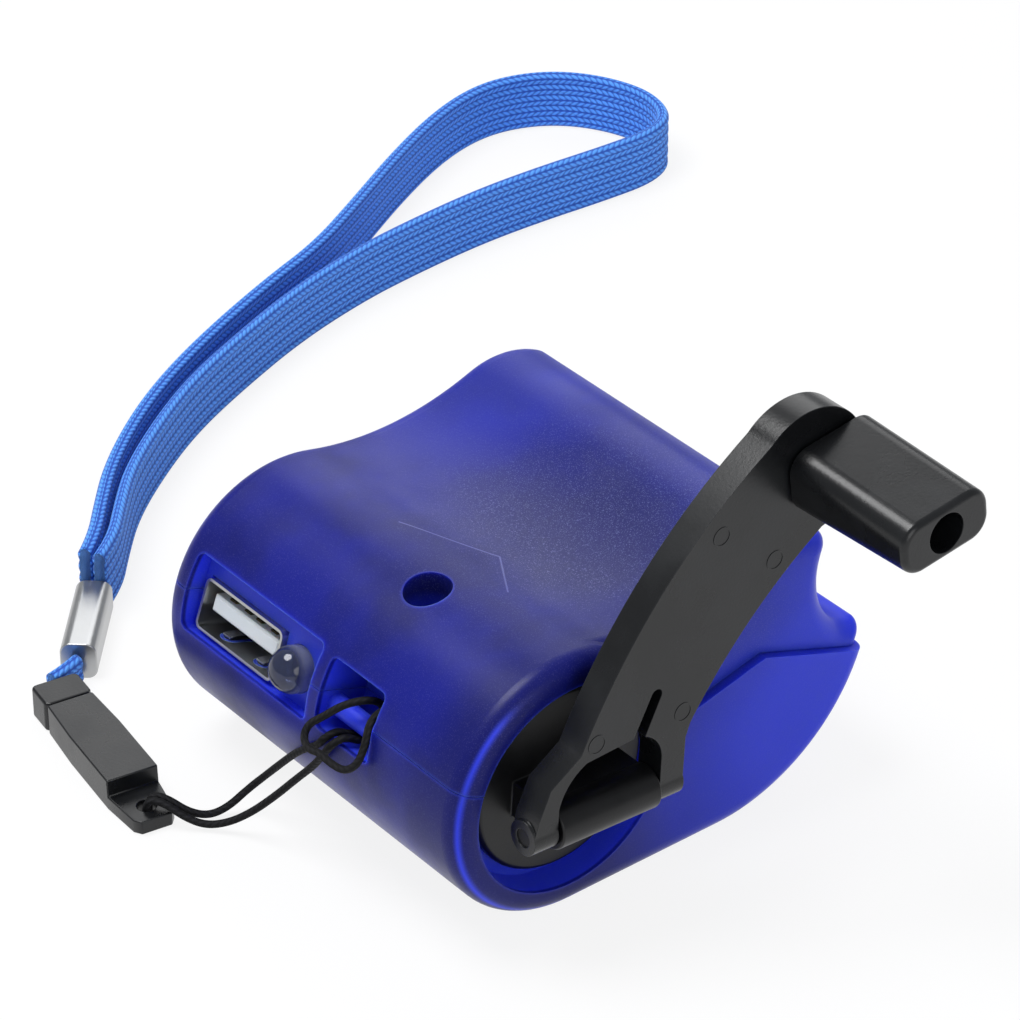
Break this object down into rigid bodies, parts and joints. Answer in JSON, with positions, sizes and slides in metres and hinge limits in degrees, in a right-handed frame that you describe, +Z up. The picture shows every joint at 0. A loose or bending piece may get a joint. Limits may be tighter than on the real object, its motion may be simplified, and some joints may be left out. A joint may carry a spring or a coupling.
{
  "type": "hand crank phone charger",
  "caption": "Pocket dynamo charger: curved blue case with a folding crank and knob, a charging socket, a small lamp and a wrist strap on a cord.",
  "frame": {"origin": "on the flat underside of the case, midway across it and midway between the socket end and the beak of the notched end", "axes": "+X runs from the socket end to the notched end, +Y from the crank face to the far face, and +Z up from the surface it stands on"},
  "size_m": [0.1346, 0.1527, 0.0513],
  "materials": {
    "blue_plastic": "translucent deep blue, frosted gloss",
    "black_plastic": "satin black",
    "white_plastic": "milky white nylon",
    "gear_plastic": "natural acetal",
    "led_lens": "clear with a faint cold tint",
    "steel": "zinc plated steel",
    "nickel": "bright nickel plate",
    "magnet": "dark sintered ferrite",
    "brass": "plain brass",
    "copper_wire": "enamelled copper",
    "circuit_board": "green solder mask",
    "dark_component": "moulded black resin",
    "capacitor_sleeve": "dark shrink sleeve",
    "wire_sleeve": "soft red wire covering",
    "blue_braid": "woven bright blue polyester",
    "black_cord": "thin black braided cord"
  },
  "bodies": {
    "case": {"upper_shell": "blue_plastic", "lower_shell": "blue_plastic", "shell_screws": "steel", "hub_bushing": "white_plastic", "idler_axle": "steel", "front_gear_plate": "steel", "rear_gear_plate": "steel", "plate_spacers": "brass", "motor_can": "steel", "motor_screws": "steel", "motor_magnets": "magnet", "motor_endcap": "white_plastic", "motor_brushes": "brass", "usb_shell": "nickel", "usb_insulator": "white_plastic", "usb_contacts": "brass", "led_lamp": "led_lens", "led_leads": "steel", "circuit_board": "circuit_board", "rectifier_diodes": "dark_component", "smoothing_capacitor": "capacitor_sleeve", "voltage_regulator": "dark_component", "led_resistor": "dark_component", "motor_wires": "wire_sleeve", "lanyard_cord": "black_cord", "buckle_socket": "black_plastic", "buckle_plug": "black_plastic", "strap_crimp": "nickel", "wrist_strap": "blue_braid"},
    "crank": {"crank_hub": "black_plastic", "crank_shaft": "steel", "drive_gear": "gear_plastic", "shaft_clip": "steel"},
    "arm": {"crank_arm": "black_plastic", "hinge_pin": "steel", "knob_screw": "steel"},
    "knob": {"crank_knob": "black_plastic"},
    "idler": {"idler_gear": "gear_plastic"},
    "rotor": {"motor_shaft": "steel", "motor_pinion": "brass", "armature_core": "steel", "armature_windings": "copper_wire", "commutator": "brass"}
  },
  "joints": [
    {"name": "crank_spin", "type": "hinge", "parent": "case", "child": "crank", "pos_m": [-0.0126, -0.0244, 0.0147], "axis": [0, 1, 0], "continuous": true},
    {"name": "crank_fold", "type": "hinge", "parent": "crank", "child": "arm", "pos_m": [-0.0126, -0.0282, 0.0147], "axis": [0.9986, 0, -0.0523], "range_deg": [0, 180]},
    {"name": "knob_spin", "type": "hinge", "parent": "arm", "child": "knob", "pos_m": [0.0147, -0.0303, 0.04461], "axis": [0, -1, 0], "continuous": true},
    {"name": "idler_spin", "type": "hinge", "parent": "case", "child": "idler", "pos_m": [0.0011, -0.014, 0.0135], "axis": [0, 1, 0], "continuous": true},
    {"name": "motor_spin", "type": "hinge", "parent": "case", "child": "rotor", "pos_m": [0.01255, -0.004, 0.0145], "axis": [0, 1, 0], "continuous": true}
  ],
  "couplings": [
    {"joint": "idler_spin", "follows": "crank_spin", "ratio": -4},
    {"joint": "motor_spin", "follows": "crank_spin", "ratio": 14.4}
  ]
}
